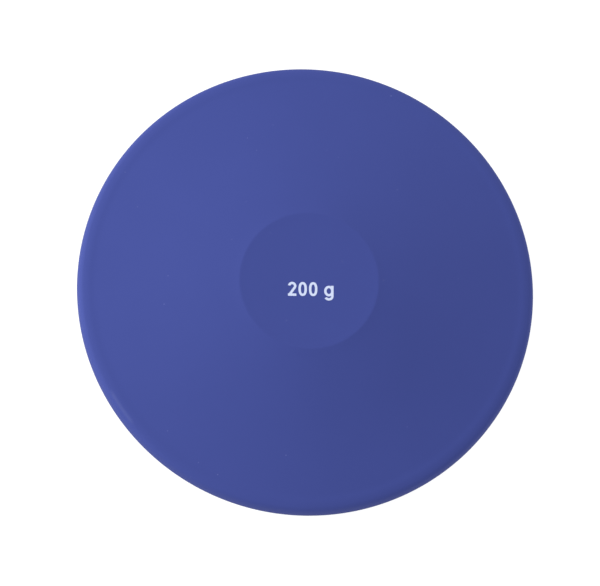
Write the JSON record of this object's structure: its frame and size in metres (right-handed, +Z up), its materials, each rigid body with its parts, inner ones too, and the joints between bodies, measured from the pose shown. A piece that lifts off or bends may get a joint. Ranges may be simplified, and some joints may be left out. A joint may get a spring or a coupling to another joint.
{
  "type": "training discus",
  "caption": "Light soft training discus: moulded half shells lapped at a rounded rim, over foam pads, a stiffening plate, a rim ring and a clamped hub.",
  "frame": {"origin": "centre of the lower flat, on the surface that the discus rests on", "axes": "+Z is up along the axis that the discus spins about; the discus is round about it, and the weight mark on the upper flat reads along +X"},
  "size_m": [0.18, 0.18, 0.037],
  "materials": {
    "shell_pvc": "matte",
    "plug_pvc": "matte",
    "foam": "matte",
    "plate_plastic": "matte",
    "ring_plastic": "satin",
    "hub_plastic": "satin",
    "weight_steel": "satin",
    "mark_ink": "matte"
  },
  "bodies": {
    "root": {"upper_shell": "shell_pvc", "lower_shell": "shell_pvc", "filler_plug": "plug_pvc", "upper_foam": "foam", "lower_foam": "foam", "core_disc": "plate_plastic", "rim_ring": "ring_plastic", "hub_post": "hub_plastic", "hub_cap": "hub_plastic", "centre_weight": "weight_steel"}
  },
  "joints": []
}
